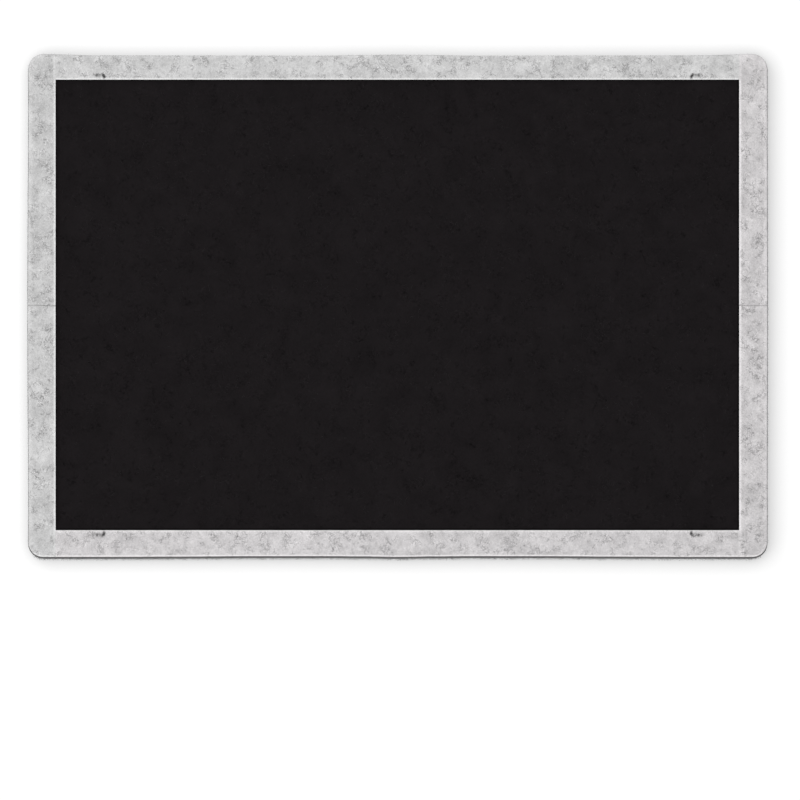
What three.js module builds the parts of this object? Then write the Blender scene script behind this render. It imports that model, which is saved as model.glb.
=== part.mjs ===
// A pin-up message board: a thick black felt panel edged with strips of light grey marled felt.
// Millimetres. X runs along the width and Z up. The board faces -Y, and its foam pads meet the wall at Y = 0.
// The origin is the middle of the centre pad's wall side.

import * as THREE from "three";

// Driving dimensions: the panel
const panelWidth = 440;
const panelHeight = 300;
const panelThickness = 9;
const panelCornerRadius = 9.5;
const panelEdgeRounding = 0.8;

// Driving dimensions: the edging strips
const stripThickness = 3;
const stripEdgeRounding = 0.4;
const topRailWidth = 15.5;
const bottomRailWidth = 16.1;
const leftStileWidth = 16.4;
const rightStileWidth = 17.1;
const sideReveal = 0.2;
const bottomReveal = 0.8;
const seamGap = 0.3;
const stileSeamRise = 0.3;

// Driving dimensions: the bond layers, the wall pads and the clear field for pins
const adhesiveThickness = 0.25;
const adhesiveInset = 1.5;
const padWidth = 40;
const padHeight = 20;
const padThickness = 1;
const padCornerRadius = 2;
const padEdgeDistance = 22;
const pinFieldMargin = 4;
const pinFieldCornerRadius = 5;

// Facets in a rounded corner of an outline, and in the rounding of a cut edge
const cornerSteps = 12;
const edgeSteps = 4;

// The layers, from the wall forwards
const wallPlane = 0;
const panelBack = wallPlane - padThickness;
const panelFront = panelBack - panelThickness;
const stripBack = panelFront - adhesiveThickness;
const stripFront = stripBack - stripThickness;

// The panel's outline, centred on the origin
const panelRight = panelWidth / 2;
const panelLeft = -panelRight;
const panelTop = panelHeight / 2;
const panelBottom = -panelTop;

// The strips' outer edges, which stand a little in from the panel's, and their inner edges, round the pin field
const stripsLeft = panelLeft + sideReveal;
const stripsRight = panelRight - sideReveal;
const stripsBottom = panelBottom + bottomReveal;
const openingLeft = stripsLeft + leftStileWidth;
const openingRight = stripsRight - rightStileWidth;
const openingTop = panelTop - topRailWidth;
const openingBottom = stripsBottom + bottomRailWidth;
const upperCornerRadius = panelCornerRadius - sideReveal;
const lowerCornerRadius = panelCornerRadius - bottomReveal;

const blackFelt = new THREE.MeshStandardMaterial({ color: 0x1e1b1c, roughness: 0.97, metalness: 0 });
const greyFelt = new THREE.MeshStandardMaterial({ color: 0xc8c8c8, roughness: 0.95, metalness: 0 });
const adhesive = new THREE.MeshStandardMaterial({ color: 0xded8c6, roughness: 0.6, metalness: 0 });
const foam = new THREE.MeshStandardMaterial({ color: 0xeeece4, roughness: 0.85, metalness: 0 });

// An outline is a rectangle with a radius for each of its corners. A radius of zero is a square corner.
function outlineOf(left, right, bottom, top, radii = {}) {
  return { left, right, bottom, top, bottomRight: 0, topRight: 0, topLeft: 0, bottomLeft: 0, ...radii };
}

function sameRadii(radius) {
  return { bottomRight: radius, topRight: radius, topLeft: radius, bottomLeft: radius };
}

// The same outline drawn in on all sides. Round corners keep their centres, and square ones stay square.
function drawnIn(outline, inset) {
  const { left, right, bottom, top, bottomRight, topRight, topLeft, bottomLeft } = outline;
  const radii = { bottomRight, topRight, topLeft, bottomLeft };
  for (const corner in radii) radii[corner] = Math.max(radii[corner] - inset, 0);
  return outlineOf(left + inset, right - inset, bottom + inset, top - inset, radii);
}

// The outline as a ring of points at depth y, anticlockwise as the front is seen. `rounded` is the outline
// that settles which corners are arcs, so that all the rings of one piece have as many points.
function ringAt(outline, y, rounded = outline) {
  const { left, right, bottom, top } = outline;
  const corners = [
    { x: right, z: bottom, inX: -1, inZ: 1, name: "bottomRight", turned: 3 },
    { x: right, z: top, inX: -1, inZ: -1, name: "topRight", turned: 0 },
    { x: left, z: top, inX: 1, inZ: -1, name: "topLeft", turned: 1 },
    { x: left, z: bottom, inX: 1, inZ: 1, name: "bottomLeft", turned: 2 },
  ];
  const quarter = Math.PI / 2;
  return corners.flatMap(({ x, z, inX, inZ, name, turned }) => {
    if (!rounded[name]) return [new THREE.Vector3(x, y, z)];
    const radius = outline[name];
    return Array.from({ length: cornerSteps + 1 }, (_, step) => {
      const angle = quarter * (turned + step / cornerSteps);
      const acrossX = x + radius * (inX + Math.cos(angle));
      const upZ = z + radius * (inZ + Math.sin(angle));
      return new THREE.Vector3(acrossX, y, upZ);
    });
  });
}

// Rings that carry an edge from a square side round onto the front face, as a quarter turn
function roundedFront(outline, back, front, rounding) {
  const rings = [ringAt(outline, back)];
  for (let step = 0; step <= edgeSteps; step += 1) {
    const angle = ((Math.PI / 2) * step) / edgeSteps;
    const inset = rounding * (1 - Math.cos(angle));
    const y = front + rounding * (1 - Math.sin(angle));
    rings.push(ringAt(drawnIn(outline, inset), y, outline));
  }
  return rings;
}

// A closed skin over rings that run from the back forwards, with a cap on the first and on the last
function loft(rings) {
  const count = rings[0].length;
  const triangles = [];
  const capOf = (ring) => {
    const contour = ring.map((point) => new THREE.Vector2(point.x, point.z));
    return THREE.ShapeUtils.triangulateShape(contour, []);
  };
  const last = (rings.length - 1) * count;
  for (const [a, b, c] of capOf(rings[0])) triangles.push(a, c, b);
  for (const [a, b, c] of capOf(rings.at(-1))) triangles.push(last + a, last + b, last + c);
  for (let ring = 0; ring < rings.length - 1; ring += 1) {
    for (let i = 0; i < count; i += 1) {
      const next = (i + 1) % count;
      const [behind, behindNext] = [ring * count + i, ring * count + next];
      const [ahead, aheadNext] = [behind + count, behindNext + count];
      triangles.push(behind, behindNext, aheadNext, behind, aheadNext, ahead);
    }
  }
  const geometry = new THREE.BufferGeometry().setFromPoints(rings.flat());
  geometry.setIndex(triangles);
  return geometry;
}

function pieceOf(name, rings, material) {
  const geometry = loft(rings).toNonIndexed();
  geometry.computeVertexNormals();
  const piece = new THREE.Mesh(geometry, material);
  piece.name = name;
  return piece;
}

// The panel has a rounded front edge, and the flat field inside its frame, where the pins go, is a face of its own
function basePanel() {
  const outline = outlineOf(panelLeft, panelRight, panelBottom, panelTop, sameRadii(panelCornerRadius));
  const opening = outlineOf(openingLeft, openingRight, openingBottom, openingTop);
  const pinField = { ...drawnIn(opening, pinFieldMargin), ...sameRadii(pinFieldCornerRadius) };
  const rings = roundedFront(outline, panelBack, panelFront, panelEdgeRounding);
  rings.push(ringAt(pinField, panelFront));
  return pieceOf("base_panel", rings, blackFelt);
}

// The two rails butt between the stiles, and each stile is two lengths that butt near mid height
function stripOutlines() {
  const railLeft = openingLeft + seamGap;
  const railRight = openingRight - seamGap;
  const seamTop = stileSeamRise + seamGap / 2;
  const seamBottom = stileSeamRise - seamGap / 2;
  const upper = upperCornerRadius;
  const lower = lowerCornerRadius;
  return {
    top_rail: outlineOf(railLeft, railRight, openingTop, panelTop),
    bottom_rail: outlineOf(railLeft, railRight, stripsBottom, openingBottom),
    left_stile_upper: outlineOf(stripsLeft, openingLeft, seamTop, panelTop, { topLeft: upper }),
    left_stile_lower: outlineOf(stripsLeft, openingLeft, stripsBottom, seamBottom, { bottomLeft: lower }),
    right_stile_upper: outlineOf(openingRight, stripsRight, seamTop, panelTop, { topRight: upper }),
    right_stile_lower: outlineOf(openingRight, stripsRight, stripsBottom, seamBottom, { bottomRight: lower }),
  };
}

// Each strip has the bond layer behind it, drawn in from its edges
function edging() {
  const group = new THREE.Group();
  for (const [name, outline] of Object.entries(stripOutlines())) {
    const bond = drawnIn(outline, adhesiveInset);
    group.add(pieceOf(name, roundedFront(outline, stripBack, stripFront, stripEdgeRounding), greyFelt));
    group.add(pieceOf(`${name}_adhesive`, [ringAt(bond, panelFront), ringAt(bond, stripBack)], adhesive));
  }
  return group;
}

// Five double-sided pads hold the board: one in the middle and one near each corner
function wallPads() {
  const group = new THREE.Group();
  const alongX = panelRight - padEdgeDistance - padWidth / 2;
  const alongZ = panelTop - padEdgeDistance - padHeight / 2;
  const pad = outlineOf(-padWidth / 2, padWidth / 2, -padHeight / 2, padHeight / 2, sameRadii(padCornerRadius));
  const places = {
    wall_pad_centre: [0, 0],
    wall_pad_upper_left: [-alongX, alongZ],
    wall_pad_upper_right: [alongX, alongZ],
    wall_pad_lower_left: [-alongX, -alongZ],
    wall_pad_lower_right: [alongX, -alongZ],
  };
  for (const [name, [x, z]] of Object.entries(places)) {
    const piece = pieceOf(name, [ringAt(pad, wallPlane), ringAt(pad, panelBack)], foam);
    piece.position.set(x, 0, z);
    group.add(piece);
  }
  return group;
}

const messageBoard = new THREE.Group();
messageBoard.add(basePanel(), edging(), wallPads());

export default messageBoard;
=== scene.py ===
import math

import bpy
import numpy as np
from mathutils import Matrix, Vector


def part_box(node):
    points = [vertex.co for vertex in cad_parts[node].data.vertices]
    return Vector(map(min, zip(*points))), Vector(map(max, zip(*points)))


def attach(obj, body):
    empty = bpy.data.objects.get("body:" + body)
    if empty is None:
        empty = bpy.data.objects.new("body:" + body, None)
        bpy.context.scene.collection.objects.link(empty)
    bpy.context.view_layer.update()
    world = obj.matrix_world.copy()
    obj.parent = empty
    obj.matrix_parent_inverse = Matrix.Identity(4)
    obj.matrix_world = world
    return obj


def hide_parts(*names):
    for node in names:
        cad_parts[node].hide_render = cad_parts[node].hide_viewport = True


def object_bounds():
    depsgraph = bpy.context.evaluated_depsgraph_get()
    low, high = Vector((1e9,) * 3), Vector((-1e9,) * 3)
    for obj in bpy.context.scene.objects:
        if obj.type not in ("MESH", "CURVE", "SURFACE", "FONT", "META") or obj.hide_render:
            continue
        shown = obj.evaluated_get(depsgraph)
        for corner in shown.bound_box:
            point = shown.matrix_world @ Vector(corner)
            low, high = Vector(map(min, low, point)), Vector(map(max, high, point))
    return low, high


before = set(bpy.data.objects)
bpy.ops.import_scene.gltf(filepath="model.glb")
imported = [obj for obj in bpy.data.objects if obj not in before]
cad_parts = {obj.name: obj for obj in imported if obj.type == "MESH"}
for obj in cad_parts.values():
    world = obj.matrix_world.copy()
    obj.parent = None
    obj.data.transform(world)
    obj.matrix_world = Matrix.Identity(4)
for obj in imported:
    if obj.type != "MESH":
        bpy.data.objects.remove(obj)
frameLow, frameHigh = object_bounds()
mm = 0.001
tiny = 1e-9  # stands in for zero where something is divided by it
noiseMiddle = 0.5  # what a noise texture swings round
waveSpread = (0.7, 1.6)  # how long crossing waves are, as shares of the wavelength asked for


def toneOf(level, warmth=0.0):
    # Screen level 0 to 255 to a linear colour: ((s + 0.055) / 1.055)^2.4 with s from 0 to 1. Warmth adds
    # levels to red and half as many to blue.
    screen = np.array([level + warmth, level, level + warmth / 2]) / 255
    return [*(((screen + 0.055) / 1.055) ** 2.4), 1.0]


def planeWaves(points, wavelength, seed, count=20):
    # Sum of plane waves that cross in random directions: cos(k.p + phase). Its mean is 0 and its spread 1.
    random = np.random.default_rng(seed)
    ways = random.normal(size=(points.shape[1], count))
    ways *= 2 * math.pi / (np.linalg.norm(ways, axis=0) * wavelength * random.uniform(*waveSpread, count))
    return np.cos(points @ ways + random.uniform(0, 2 * math.pi, count)).sum(axis=1) * math.sqrt(2 / count)


def layeredWaves(points, layers):
    # Sum of height times plane waves over layers, each with its wavelength, height and seed
    total = np.zeros(len(points))
    for wavelength, height, seed in layers:
        total += height * planeWaves(points, wavelength, seed)
    return total


def smoothStep(low, high, values):
    # t^2 (3 - 2 t), where t runs from 0 at low to 1 at high
    t = np.clip((values - low) / (high - low), 0, 1)
    return t * t * (3 - 2 * t)


def addObject(name, data):
    made = bpy.data.objects.new(name, data)
    bpy.context.collection.objects.link(made)
    return made


# Camera: square on, far off with a long lens, framed as the photograph is
view = {
    "pixel": 0.595 * mm,
    "framePixels": 800,
    "boardCentrePixel": (397.8, 306.1),
    "distance": 8.0,
    "sensor": 36.0,
    "clipEnd": 20.0,
}


def makeCamera():
    # Lens = sensor distance / width, where the width seen at the board is framePixels times pixel
    data = bpy.data.cameras.new("camera")
    data.sensor_width = view["sensor"]
    data.lens = view["sensor"] * view["distance"] / (view["framePixels"] * view["pixel"])
    data.clip_end = view["clipEnd"]
    middle = view["framePixels"] / 2
    across, down = (middle - p for p in view["boardCentrePixel"])
    camera = addObject("camera", data)
    camera.location = (across * view["pixel"], frameLow.y - view["distance"], -down * view["pixel"])
    camera.rotation_euler = (math.pi / 2, 0, 0)
    bpy.context.scene.camera = camera


# Shader tools: short ways to add and join nodes in a tree
class Tree:
    def __init__(self, nodeTree):
        self.tree = nodeTree

    def feed(self, socket, value):
        if isinstance(value, bpy.types.NodeSocket):
            self.tree.links.new(value, socket)
        else:
            socket.default_value = value

    def node(self, kind, settings=None, *values, **inputs):
        # Values go into the sockets in their order. In a name, an underscore stands for the socket's space.
        made = self.tree.nodes.new("ShaderNode" + kind)
        for name, value in (settings or {}).items():
            setattr(made, name, value)
        for socket, value in zip(made.inputs, values):
            self.feed(socket, value)
        for name, value in inputs.items():
            self.feed(made.inputs[name.replace("_", " ")], value)
        return made

    def math(self, operation, *values, clamp=False):
        return self.node("Math", {"operation": operation, "use_clamp": clamp}, *values).outputs[0]

    def vectorMath(self, operation, *values, **inputs):
        return self.node("VectorMath", {"operation": operation}, *values, **inputs).outputs

    def sumOf(self, start, terms):
        # start + value * gain for each term in turn, held to 0 to 1 at the end
        total = start
        for value, gain in terms:
            total = self.math("MULTIPLY_ADD", value, gain, total)
        total.node.use_clamp = True
        return total

    def gather(self, value, mask, least):
        # The value in full where the mask is 1, and the least share of it where the mask is 0
        return self.math("MULTIPLY", value, self.math("MULTIPLY_ADD", mask, 1 - least, least))

    def between(self, value, low, high, first=0.0, last=1.0):
        # Smooth step from first to last as value goes from low to high
        ends = {"From_Min": low, "From_Max": high, "To_Min": first, "To_Max": last}
        return self.node("MapRange", {"interpolation_type": "SMOOTHSTEP"}, value, **ends).outputs["Result"]

    def mix(self, factor, first, second, blend="MIX"):
        made = self.node("Mix", {"data_type": "RGBA", "blend_type": blend}, Factor=factor)
        for socket, value in zip((s for s in made.inputs if s.type == "RGBA"), (first, second)):
            self.feed(socket, value)
        return next(s for s in made.outputs if s.type == "RGBA")

    def noise(self, position, scale, **settings):
        return self.node("TexNoise", Vector=position, Scale=scale, **settings).outputs["Fac"]

    def attribute(self, label):
        return self.node("Attribute", {"attribute_name": label}).outputs["Fac"]


def clearTree(owner):
    # The node tree of a material or a world, with nothing in it
    owner.use_nodes = True
    owner.node_tree.nodes.clear()
    return Tree(owner.node_tree)


def makeGroup(name, sizes, outputs):
    # A shader node group that takes a position and sizes: gives its tree and the sockets inside it
    tree = bpy.data.node_groups.new(name, "ShaderNodeTree")
    tree.interface.new_socket("Position", in_out="INPUT", socket_type="NodeSocketVector")
    for label, size in sizes.items():
        socket = tree.interface.new_socket(label, in_out="INPUT", socket_type="NodeSocketFloat")
        socket.default_value = size
    for label in outputs:
        tree.interface.new_socket(label, in_out="OUTPUT", socket_type="NodeSocketFloat")
    given = tree.nodes.new("NodeGroupInput").outputs
    result = tree.nodes.new("NodeGroupOutput").inputs
    return Tree(tree), given, result


def useGroup(tree, name, position, **sizes):
    # The group's outputs by name
    made = tree.node("Group", {"node_tree": groups[name]}, Position=position, **sizes)
    return {socket.name: socket for socket in made.outputs}


woolVeins = {"Detail": 3.0, "Roughness": 0.55, "Distortion": 0.8}


def makeVeinsGroup():
    # Fibre lines: where a soft noise crosses its middle it draws thin closed curls, as matted wool does. A
    # line is 1 - |noise - middle| / width, held to 0 to 1.
    tree, given, result = makeGroup("woolVeins", {"Curl Size": 4.0, "Line Width": 0.03}, ["Lines"])
    soft = tree.noise(given["Position"], tree.math("DIVIDE", 1.0, given["Curl Size"]), **woolVeins)
    away = tree.math("ABSOLUTE", tree.math("SUBTRACT", soft, noiseMiddle))
    lines = tree.math("SUBTRACT", 1.0, tree.math("DIVIDE", away, given["Line Width"]), clamp=True)
    tree.feed(result["Lines"], lines)
    return tree.tree


# Each noise of the marl goes by one of the two sizes, and is so many times finer. A step is where a mask
# starts and where it is full.
marledWool = {
    "noises": {
        "clouds": ("Cloud Size", 1.0, {"Detail": 5.0, "Roughness": 0.62, "Distortion": 0.5}),
        "mottle": ("Cloud Size", 2.4, {"Detail": 2.0, "Roughness": 0.55, "Distortion": 0.6}),
        "flecks": ("Fleck Size", 1.0, {"Detail": 2.0, "Roughness": 0.6, "Distortion": 0.3}),
        "wide": ("Cloud Size", 1.7, {"Detail": 3.0, "Roughness": 0.6, "Distortion": 0.4}),
        "knots": ("Fleck Size", 0.5, {"Detail": 2.0, "Roughness": 0.5, "Distortion": 0.7}),
        "dots": ("Fleck Size", 1.2, {"Detail": 1.0}),
    },
    "gatheredStep": (0.44, 0.62),
    "blotStep": (0.53, 0.70),
    "speckStep": (0.62, 0.74),
    "blotsBetween": 0.2,  # the share of the blots where no wool gathers
}


def makeMarlGroup():
    # Marled wool. Clouds and mottle drift wide and flecks are fine, all round 0. Blots are small dark knots
    # that gather where a wide noise is high, as the gathered mask says, and specks are bare bright dots,
    # all 0 to 1.
    outputs = ["Clouds", "Mottle", "Flecks", "Gathered", "Blots", "Specks"]
    tree, given, result = makeGroup("marledWool", {"Cloud Size": 12.0, "Fleck Size": 0.9}, outputs)
    noises = {}
    for name, (size, finer, settings) in marledWool["noises"].items():
        scale = tree.math("MULTIPLY", tree.math("DIVIDE", 1.0, given[size]), finer)
        noises[name] = tree.noise(given["Position"], scale, **settings)
    for name in ("clouds", "mottle", "flecks"):
        tree.feed(result[name.capitalize()], tree.math("SUBTRACT", noises[name], noiseMiddle))
    gathered = tree.between(noises["wide"], *marledWool["gatheredStep"])
    blots = tree.between(noises["knots"], *marledWool["blotStep"])
    tree.feed(result["Gathered"], gathered)
    tree.feed(result["Blots"], tree.gather(blots, gathered, marledWool["blotsBetween"]))
    tree.feed(result["Specks"], tree.between(noises["dots"], *marledWool["speckStep"]))
    return tree.tree


fibreWeb = {
    "turns": (0.35, 1.2, 2.0, 2.75),  # how far each layer is turned, in radians
    "apart": (17.0, 5.0, 9.0),  # how far each layer's noise lies from that of the layer before
    "swayScale": 0.3,
    "sway": 2.8,
    "darkStep": (0.58, 0.72),
    "paleStep": (0.28, 0.42),
}


def makeWebGroup():
    # Crossing fibres: a noise drawn out long one way and thin the other, in layers turned to different
    # angles and swayed a little. A fibre is dark where the noise is high and pale where it is low.
    tree, given, result = makeGroup("fibreWeb", {"Length": 4.5, "Width": 0.22}, ["Dark", "Pale"])
    place = given["Position"]
    bent = tree.node("TexNoise", Vector=place, Scale=fibreWeb["swayScale"], Detail=1.0).outputs["Color"]
    sway = tree.vectorMath("SCALE", bent, Scale=fibreWeb["sway"])["Vector"]
    swayed = tree.vectorMath("ADD", place, sway)["Vector"]
    along, across = (tree.math("DIVIDE", 1.0, given[name]) for name in ("Length", "Width"))
    stretch = tree.node("CombineXYZ", X=along, Y=across, Z=across).outputs[0]
    dark, pale = 0.0, 0.0
    for layer, turn in enumerate(fibreWeb["turns"]):
        turned = tree.node("VectorRotate", {"rotation_type": "Y_AXIS"}, Vector=swayed, Angle=turn).outputs[0]
        moved = tuple(layer * step for step in fibreWeb["apart"])
        drawn = tree.vectorMath("MULTIPLY_ADD", turned, stretch, moved)["Vector"]
        fibres = tree.noise(drawn, 1.0, Detail=1.0)
        dark = tree.math("MAXIMUM", dark, tree.between(fibres, *fibreWeb["darkStep"]))
        pale = tree.math("MAXIMUM", pale, tree.between(fibres, *fibreWeb["paleStep"], 1.0, 0.0))
    tree.feed(result["Dark"], dark)
    tree.feed(result["Pale"], pale)
    return tree.tree


feltPile = {
    "curls": {"Detail": 3.0, "Roughness": 0.6, "Distortion": 1.2},
    "nap": {"Detail": 2.0, "Roughness": 0.6},
    "curlShare": 0.6,
    "step": (0.3, 0.7),  # the heights between which its roughness changes
    "webRise": 0.25,  # how far the web's fibres stand out of it
}


def makePileGroup():
    # The height of a felt surface, 0 to 1: s curls + (1 - s) nap, matted curls over a fine nap
    tree, given, result = makeGroup("feltPile", {"Curl Size": 1.6, "Nap Size": 0.45}, ["Height"])
    curls, nap = (
        tree.noise(given["Position"], tree.math("DIVIDE", 1.0, given[size]), **feltPile[name])
        for name, size in (("curls", "Curl Size"), ("nap", "Nap Size"))
    )
    share = feltPile["curlShare"]
    height = tree.math("ADD", tree.math("MULTIPLY", curls, share), tree.math("MULTIPLY", nap, 1 - share))
    tree.feed(result["Height"], height)
    return tree.tree


def makeOpeningGroup():
    # Distance in millimetres from a rectangle seen from the front, negative inside it. With p the distances
    # past its sides along X and Z, it is |max(p, 0)| + min(max(px, pz), 0).
    sizes = {"Centre X": 0.0, "Centre Z": 0.0, "Half Width": 200.0, "Half Height": 130.0}
    tree, given, result = makeGroup("openingDistance", sizes, ["Distance"])
    place = tree.node("SeparateXYZ", Vector=given["Position"]).outputs
    past = []
    for axis, half in (("X", "Half Width"), ("Z", "Half Height")):
        away = tree.math("ABSOLUTE", tree.math("SUBTRACT", place[axis], given["Centre " + axis]))
        past.append(tree.math("SUBTRACT", away, given[half]))
    squares = [tree.math("POWER", tree.math("MAXIMUM", p, 0.0), 2.0) for p in past]
    outside = tree.math("SQRT", tree.math("ADD", *squares))
    inside = tree.math("MINIMUM", tree.math("MAXIMUM", *past), 0.0)
    tree.feed(result["Distance"], tree.math("ADD", outside, inside))
    return tree.tree


groups = {
    "veins": makeVeinsGroup(),
    "marl": makeMarlGroup(),
    "web": makeWebGroup(),
    "pile": makePileGroup(),
    "opening": makeOpeningGroup(),
}


def newMaterial(name, **constants):
    # A material, its Principled shader with these constants, and object coordinates in millimetres
    material = bpy.data.materials.new(name)
    tree = clearTree(material)
    shader = tree.node("BsdfPrincipled", **constants)
    tree.node("OutputMaterial", {"is_active_output": True}, Surface=shader.outputs["BSDF"])
    coordinates = tree.node("TexCoord").outputs["Object"]
    position = tree.vectorMath("SCALE", coordinates, Scale=1 / mm)["Vector"]
    return material, tree, shader, position


def addBump(tree, shader, height, distance):
    bump = tree.node("Bump", Height=height, Distance=distance, Strength=1.0)
    tree.feed(shader.inputs["Normal"], bump.outputs["Normal"])


def feltColour(tree, position, start, values, gathered=None):
    # From dark to light by start + the sum of gain times part. The parts are the marl, the web and the
    # lines, which are fewer where no wool gathers. Gives the colour and the parts.
    parts = useGroup(tree, "marl", position, **values["marl"])
    parts.update(useGroup(tree, "web", position, **values["web"]))
    if gathered is not None:
        parts["Gathered"] = gathered
    for name, (size, width, between) in values["lines"].items():
        lines = useGroup(tree, "veins", position, Curl_Size=size, Line_Width=width)["Lines"]
        parts[name] = tree.gather(lines, parts["Gathered"], between)
    shade = tree.sumOf(start, [(parts[name], gain) for name, gain in values["gains"].items()])
    return tree.mix(shade, values["dark"], values["light"]), parts


def addPaleAndHighlitEdges(tree, colour, parts, values):
    # The cut edges' bands, partly the felt's paler cut fibre and partly a painted highlight, uneven as the
    # flecks are: pale (level + gain flecks), held to 0 to 1
    level, gain = values["edgeFibreAndHighlightFill"]
    fill = tree.math("MULTIPLY_ADD", parts["Flecks"], gain, level)
    pale = tree.math("MULTIPLY", tree.attribute("pale"), fill, clamp=True)
    return tree.mix(pale, colour, values["edgeFibreAndHighlight"])


def addPile(tree, shader, position, parts, values):
    # Roughness and relief from the pile, with the web's fibres raised out of it
    pile = useGroup(tree, "pile", position, **values["pile"])["Height"]
    tree.feed(shader.inputs["Roughness"], tree.between(pile, *feltPile["step"], *values["roughness"]))
    web = tree.math("ADD", parts["Dark"], parts["Pale"])
    addBump(tree, shader, tree.math("MULTIPLY_ADD", web, feltPile["webRise"], pile), values["bump"])


# Patterns are drawn in millimetres. Lines are curl size, width, and the share left where no wool gathers.
# Gains are what each part adds to the shade, which is 0 at dark and 1 at light. Cut edges, paler partly as
# cut fibre and partly as a painted highlight, fill by a level and a gain.
greyFelt = {
    "shader": {"Roughness": 0.92, "Sheen_Weight": 0.12, "Sheen_Roughness": 0.45, "Specular_IOR_Level": 0.3},
    "marl": {"Cloud_Size": 13.0, "Fleck_Size": 0.95},
    "web": {"Length": 4.5, "Width": 0.22},
    "lines": {"darkThreads": (3.0, 0.04, 0.15), "paleThreads": (2.5, 0.04, 0.4)},
    "pile": {"Curl_Size": 1.3, "Nap_Size": 0.35},
    "dark": toneOf(150, 0.2),
    "light": toneOf(236, 0.2),
    "middle": 0.557,
    "gains": {
        "Clouds": 0.88,
        "Mottle": 0.41,
        "Flecks": 0.3,
        "Blots": -0.27,
        "darkThreads": -0.55,
        "Specks": 0.15,
        "Gathered": -0.03,
        "Dark": -0.13,
        "Pale": 0.13,
        "paleThreads": 0.34,
    },
    # paler cut edges: partly cut fibre, partly a painted highlight
    "edgeFibreAndHighlight": toneOf(246, 0.2),
    "edgeFibreAndHighlightFill": (0.93, 2.2),
    "smudge": toneOf(32, 0.5),
    "warmTint": (1.027, 1.0, 1.01, 1.0),
    "roughness": (0.86, 0.97),
    "bump": 0.12 * mm,
}


def makeGreyFelt(values):
    # Each strip's attributes say how its lot differs, where its wool gathers, and where it is darker: at its
    # tangles and along its mid joint
    material, tree, shader, position = newMaterial("greyFelt", **values["shader"])
    start = tree.math("ADD", tree.attribute("lot"), values["middle"])
    colour, parts = feltColour(tree, position, start, values, tree.attribute("gathered"))
    colour = addPaleAndHighlitEdges(tree, colour, parts, values)
    colour = tree.mix(tree.attribute("smudge"), colour, values["smudge"])
    tinted = tree.mix(1.0, colour, values["warmTint"], "MULTIPLY")
    tree.feed(shader.inputs["Base Color"], tree.mix(tree.attribute("warm"), colour, tinted))
    addPile(tree, shader, position, parts, values)
    return material


blackFelt = {
    "shader": {"Roughness": 0.95, "Sheen_Weight": 0.01, "Sheen_Roughness": 0.4, "Specular_IOR_Level": 0.08},
    "marl": {"Cloud_Size": 15.0, "Fleck_Size": 1.1},
    "web": {"Length": 5.0, "Width": 0.25},
    "lines": {"paleCurls": (3.5, 0.03, 0.0), "darkCurls": (2.6, 0.05, 0.0)},
    "pile": {"Curl_Size": 1.5, "Nap_Size": 0.4},
    "dark": toneOf(8, 2.0),
    "light": toneOf(28.5, 3.2),
    "middle": 0.62,
    "gains": {
        "Clouds": 0.7,
        "Flecks": 0.45,
        "Blots": -0.3,
        "paleCurls": 0.3,
        "darkCurls": -0.3,
        "Dark": -0.07,
        "Pale": 0.07,
    },
    # painted shade along the edging, where the strips stand on the panel
    "paintedCreaseShade": toneOf(2),
    "paintedShadeStrength": 0.95,
    "paintedShadeReach": (0.1, 1.0),  # from its line, where it starts to fade and where it is gone
    "paintedShadeShift": (-0.4, 0.3),  # how far its line lies from the opening's along X and Z
    "paintedShadeDepth": -9.5,  # it lies in front of this Y
    # paler cut edges: partly cut fibre, partly a painted highlight
    "edgeFibreAndHighlight": toneOf(126, 1.0),
    "edgeFibreAndHighlightFill": (0.95, 1.2),
    "roughness": (0.9, 0.99),
    "bump": 0.10 * mm,
}


def makeBlackFelt(values, openingInMm):
    # Painted shade: a dark line along the edging, where the strips stand on the panel, by the distance
    # from the opening's outline, moved so that more of it shows on the right and the bottom
    material, tree, shader, position = newMaterial("blackFelt", **values["shader"])
    colour, parts = feltColour(tree, position, values["middle"], values)
    line = dict(openingInMm)
    for axis, shift in zip(("Centre_X", "Centre_Z"), values["paintedShadeShift"]):
        line[axis] += shift
    away = tree.math("ABSOLUTE", useGroup(tree, "opening", position, **line)["Distance"])
    paintedCreaseShade = tree.between(away, *values["paintedShadeReach"], values["paintedShadeStrength"], 0.0)
    depth = tree.node("SeparateXYZ", Vector=position).outputs["Y"]
    paintedCreaseShade = tree.math("MULTIPLY", paintedCreaseShade, tree.math("LESS_THAN", depth, values["paintedShadeDepth"]))
    colour = tree.mix(paintedCreaseShade, colour, values["paintedCreaseShade"])
    tree.feed(shader.inputs["Base Color"], addPaleAndHighlitEdges(tree, colour, parts, values))
    addPile(tree, shader, position, parts, values)
    return material


looseFibre = {
    "shader": {"Roughness": 0.8, "Specular_IOR_Level": 0.25},
    "greyFibre": (toneOf(70, 1.0), toneOf(240, 1.5)),
    "blackFibre": (toneOf(4), toneOf(44, 3.0)),
    "mottleScale": 1.2,
    "mottleGain": 0.3,
}


def makeFibre(name, values):
    # Loose fibres: each strand's own tone is its attribute, with a little mottle along it
    material, tree, shader, position = newMaterial(name, **values["shader"])
    mottle = tree.math("SUBTRACT", tree.noise(position, values["mottleScale"]), noiseMiddle)
    tone = tree.sumOf(tree.attribute("tone"), [(mottle, values["mottleGain"])])
    tree.feed(shader.inputs["Base Color"], tree.mix(tone, *values[name]))
    return material


foamTape = {
    "shader": {"Roughness": 0.55, "Specular_IOR_Level": 0.4},
    "thumbed": toneOf(226, 4.0),
    "clean": toneOf(238, 2.0),
    # painted shade in the pores' hollows
    "pore": toneOf(176, 6.0),
    "cellScale": 2.8,
    "poreStep": (0.06, 0.26),
    "poreShadeStrength": 0.5,
    "patchScale": 0.15,
    "patchStep": (0.3, 0.7),
    "roughness": 0.3,
    "poreRoughness": 0.2,
    "patchRoughness": 0.3,
    "bump": 0.08 * mm,
}


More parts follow.
